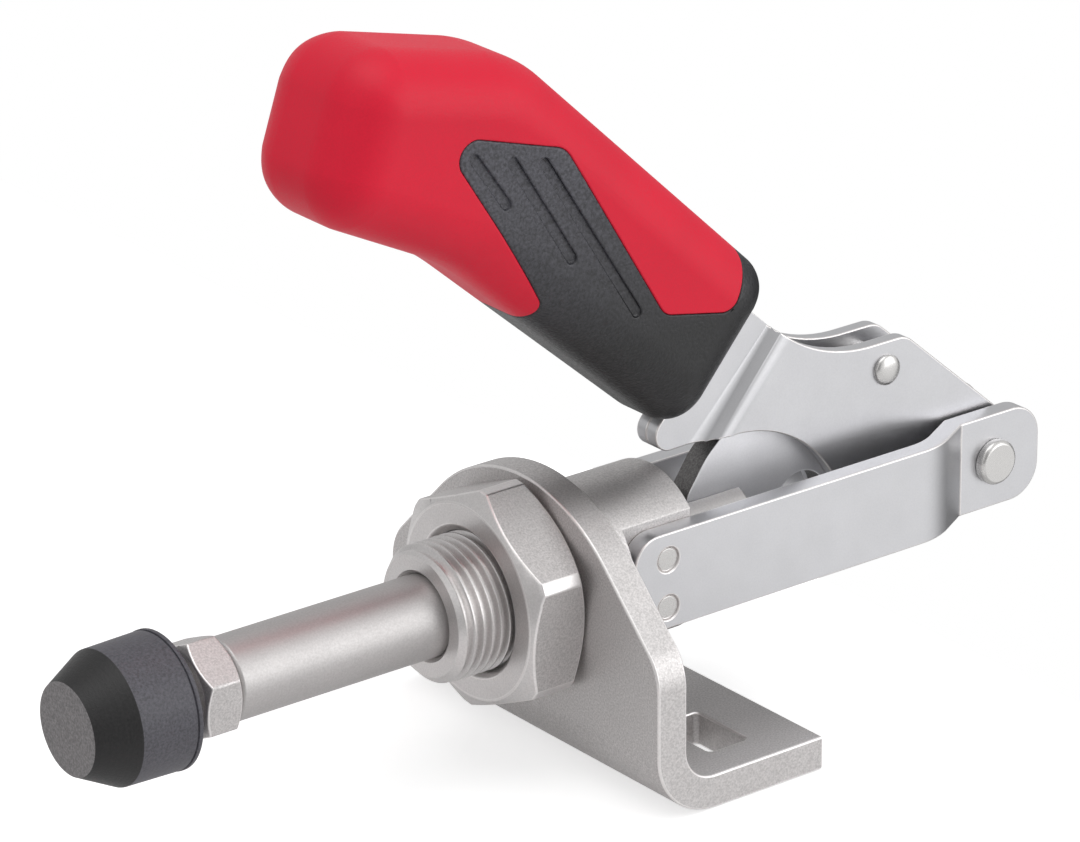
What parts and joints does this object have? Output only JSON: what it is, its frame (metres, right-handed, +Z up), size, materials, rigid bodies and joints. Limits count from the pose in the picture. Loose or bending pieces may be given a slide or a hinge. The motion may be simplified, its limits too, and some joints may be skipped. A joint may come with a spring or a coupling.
{
  "type": "push-pull toggle clamp",
  "caption": "Push-pull toggle clamp: a lever slides a plunger through a threaded sleeve on an angle bracket and locks it at both dead centres.",
  "frame": {"origin": "midway between the two base slots, on the underside of the bracket's flange", "axes": "+X is the direction in which the plunger pushes, +Z is up, +Y is the left side seen from behind the grip"},
  "size_m": [0.1661, 0.0614, 0.1114],
  "materials": {
    "satin_steel": "tumbled satin stainless",
    "plate_steel": "satin stainless sheet",
    "pin_steel": "bright stainless",
    "soft_red": "soft matt",
    "hard_black": "fine grained",
    "black_rubber": "matt rubber"
  },
  "bodies": {
    "frame": {"mounting_bracket": "satin_steel", "guide_body": "satin_steel", "bracket_nut": "satin_steel", "side_plate_left": "plate_steel", "side_plate_right": "plate_steel", "guide_rivet_left_upper": "pin_steel", "guide_rivet_left_lower": "pin_steel", "guide_rivet_right_upper": "pin_steel", "guide_rivet_right_lower": "pin_steel", "rear_pivot_pin": "pin_steel"},
    "handle": {"handle_plate_left": "plate_steel", "handle_plate_right": "plate_steel", "grip_core": "hard_black", "grip_cover": "soft_red", "stop_rivet": "pin_steel", "toggle_pin": "pin_steel"},
    "link": {"toggle_link": "plate_steel"},
    "plunger": {"plunger_rod": "satin_steel", "clevis_stud_left": "pin_steel", "clevis_stud_right": "pin_steel", "lock_nut": "satin_steel"},
    "cap": {"rubber_cap": "black_rubber"},
    "screw": {"pressure_screw": "satin_steel"}
  },
  "joints": [
    {"name": "handle_swing", "type": "hinge", "parent": "frame", "child": "handle", "pos_m": [-0.064, 0, 0.026], "axis": [0, -1, 0], "range_deg": [0, 180]},
    {"name": "link_swing", "type": "hinge", "parent": "handle", "child": "link", "pos_m": [-0.048, 0, 0.026], "axis": [0, -1, 0], "range_deg": [-180, 0]},
    {"name": "plunger_slide", "type": "slide", "parent": "frame", "child": "plunger", "axis": [1, 0, 0], "range_m": [-0.032, 0]},
    {"name": "cap_feed", "type": "slide", "parent": "plunger", "child": "cap", "axis": [1, 0, 0], "range_m": [0, 0.01]},
    {"name": "screw_turn", "type": "hinge", "parent": "cap", "child": "screw", "pos_m": [0.08, 0, 0.026], "axis": [1, 0, 0], "range_deg": [0, 2880]}
  ],
  "couplings": [
    {"joint": "link_swing", "follows": "handle_swing", "ratio": -1},
    {"joint": "plunger_slide", "follows": "handle_swing", "m_per_rad": -0.010186},
    {"joint": "cap_feed", "follows": "screw_turn", "m_per_rad": 0.00019894}
  ]
}
